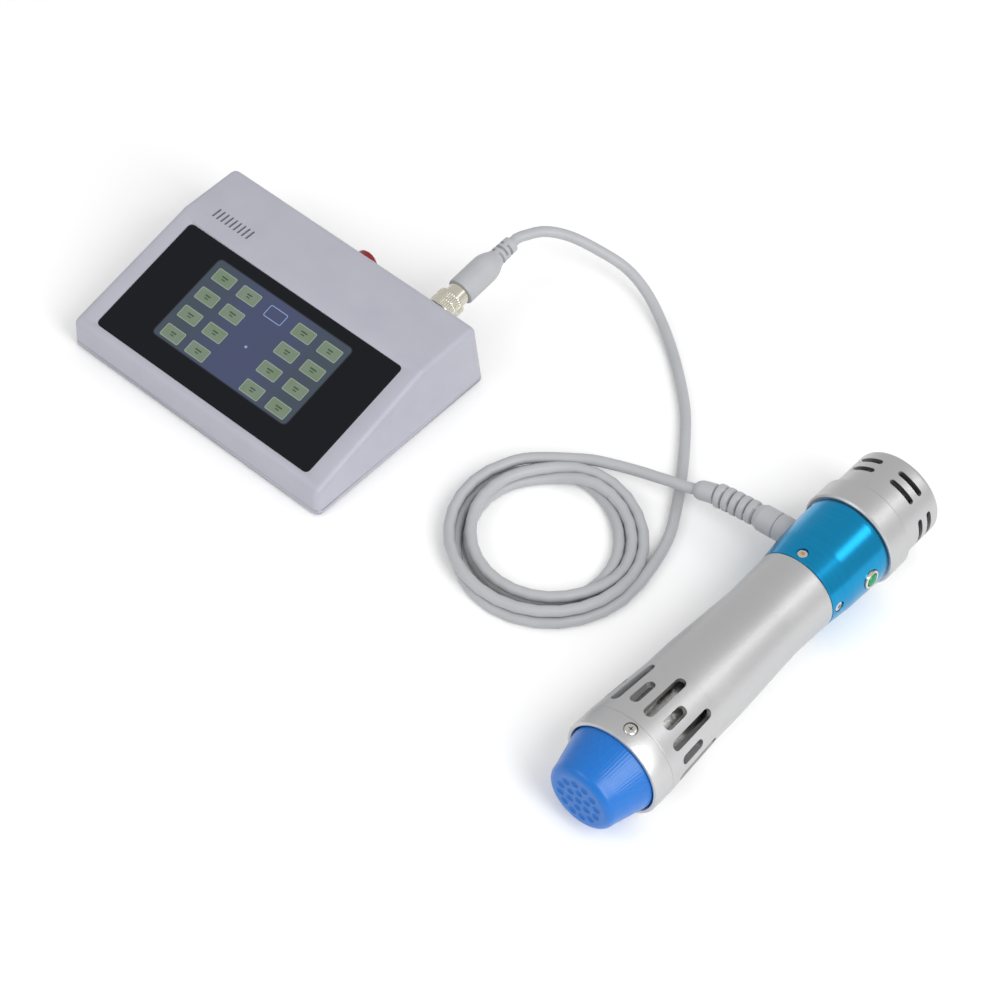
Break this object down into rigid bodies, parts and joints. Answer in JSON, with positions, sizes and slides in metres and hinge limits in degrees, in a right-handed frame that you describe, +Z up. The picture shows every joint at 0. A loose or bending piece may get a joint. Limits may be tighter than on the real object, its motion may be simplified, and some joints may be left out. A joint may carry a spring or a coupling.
{
  "type": "shockwave therapy device",
  "caption": "Physiotherapy device: wedge-shaped touch-screen console with a corded, slotted cylindrical handpiece that has a tapered treatment head, its cord laid in a coil.",
  "frame": {"origin": "centre, on the floor, of the box of console and handpiece together, without the cord", "axes": "+X from the console towards the handpiece lying beside it, +Y from the console's front edge to its rear wall and along the handpiece from head to tail, +Z up"},
  "size_m": [0.4295, 0.2901, 0.0554],
  "materials": {
    "casing": "satin, light lavender grey",
    "cover_glass": "black-backed, gloss",
    "screen": "lit display",
    "board": "solder mask",
    "black_plastic": "moulded",
    "red_plastic": "gloss",
    "green_plastic": "gloss",
    "rubber": "moulded",
    "cord_pvc": "soft, satin",
    "nickel": "nickel plate",
    "aluminium": "fine satin, clear anodised",
    "blue_anodised": "gloss blue anodised",
    "head_plastic": "fine axial grain",
    "steel": "machined",
    "copper": "enamelled wire"
  },
  "bodies": {
    "console": {"console_top_shell": "casing", "console_base_plate": "casing", "rubber_foot_1": "rubber", "rubber_foot_2": "rubber", "rubber_foot_3": "rubber", "rubber_foot_4": "rubber", "base_screw_1": "steel", "base_screw_2": "steel", "base_screw_3": "steel", "base_screw_4": "steel", "glass_panel": "cover_glass", "lcd_module": "screen", "control_board": "board", "driver_board": "board", "boost_transformer": "copper", "capacitor_1": "black_plastic", "capacitor_2": "black_plastic", "speaker": "black_plastic", "switch_housing": "black_plastic", "power_inlet": "black_plastic", "socket_body": "nickel", "socket_nut": "nickel", "cord_coil": "cord_pvc", "cord_to_boot": "cord_pvc"},
    "power_rocker": {"switch_rocker": "red_plastic"},
    "plug": {"plug_shell": "nickel", "plug_overmould": "cord_pvc", "cord_from_plug": "cord_pvc"},
    "coupling_ring": {"coupling_ring": "nickel"},
    "handpiece": {"nose_ring": "aluminium", "barrel": "aluminium", "front_bush": "aluminium", "head_oring": "rubber", "tail_collar": "aluminium", "tail_cap": "aluminium", "switch_ring": "blue_anodised", "trigger_bezel": "nickel", "trigger_switch": "black_plastic", "front_screw_1": "steel", "front_screw_2": "steel", "front_screw_3": "steel", "ring_screw_1": "steel", "ring_screw_2": "steel", "ring_screw_3": "steel", "ring_screw_4": "steel", "gland_set_screw": "steel", "fan_frame": "black_plastic", "terminal_board": "board", "coil_bobbin": "black_plastic", "coil_winding": "copper", "guide_tube": "steel", "return_spring": "steel", "cable_boot": "cord_pvc", "cable_collar": "cord_pvc"},
    "trigger": {"trigger_button": "green_plastic"},
    "fan_rotor": {"fan_rotor": "black_plastic"},
    "striker": {"striker": "steel"},
    "head": {"head_cap": "head_plastic", "head_pin": "steel"}
  },
  "joints": [
    {"name": "rocker_tilt", "type": "hinge", "parent": "console", "child": "power_rocker", "pos_m": [-0.1228, 0.05549, 0.02448], "axis": [1, 0, 0], "range_deg": [0, 16]},
    {"name": "plug_pull", "type": "slide", "parent": "console", "child": "plug", "axis": [0, 0.9925, 0.1219], "range_m": [0, 0.014]},
    {"name": "ring_turn", "type": "hinge", "parent": "plug", "child": "coupling_ring", "pos_m": [-0.0671, 0.05582, 0.03], "axis": [0, 0.9925, 0.1219], "continuous": true},
    {"name": "handpiece_lift", "type": "slide", "parent": "console", "child": "handpiece", "axis": [0, 0, 1], "range_m": [0, 0.06]},
    {"name": "trigger_press", "type": "slide", "parent": "handpiece", "child": "trigger", "axis": [-0.9925, 0, -0.1219], "range_m": [0, 0.002], "stiffness_N_per_m": 400},
    {"name": "fan_spin", "type": "hinge", "parent": "handpiece", "child": "fan_rotor", "pos_m": [0.1872, 0.0937, 0.0276], "axis": [0, 1, 0], "continuous": true},
    {"name": "striker_throw", "type": "slide", "parent": "handpiece", "child": "striker", "axis": [0, -1, 0], "range_m": [0, 0.018], "stiffness_N_per_m": 150, "deforming": ["return_spring"]},
    {"name": "head_pull", "type": "slide", "parent": "handpiece", "child": "head", "axis": [0, -1, 0], "range_m": [0, 0.035]}
  ]
}
